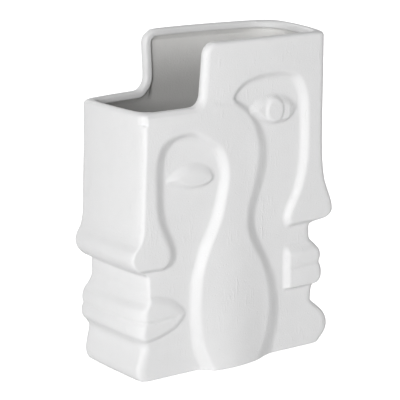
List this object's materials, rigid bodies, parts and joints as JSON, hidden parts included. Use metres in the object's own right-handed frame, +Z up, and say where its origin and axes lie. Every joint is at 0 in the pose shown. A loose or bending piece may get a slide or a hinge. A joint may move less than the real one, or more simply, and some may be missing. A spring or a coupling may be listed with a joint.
{
  "type": "face vase",
  "caption": "Matte ceramic vase with abstract face profiles cut into its ends and in relief on its front, a stepped open mouth, a bowed back and soft foot pads.",
  "frame": {"origin": "middle of the whole part's plan, on the surface that its foot pads stand on", "axes": "+Z up, +X to the right along the front with the relief, +Y towards the bowed back"},
  "size_m": [0.225, 0.1076, 0.28],
  "materials": {
    "ceramic": "matte white, unglazed look, fine vertical texture",
    "pad": "soft, matte"
  },
  "bodies": {
    "root": {"vase_body": "ceramic", "foot_pad_front_left": "pad", "foot_pad_front_right": "pad", "foot_pad_rear_left": "pad", "foot_pad_rear_right": "pad"}
  },
  "joints": []
}
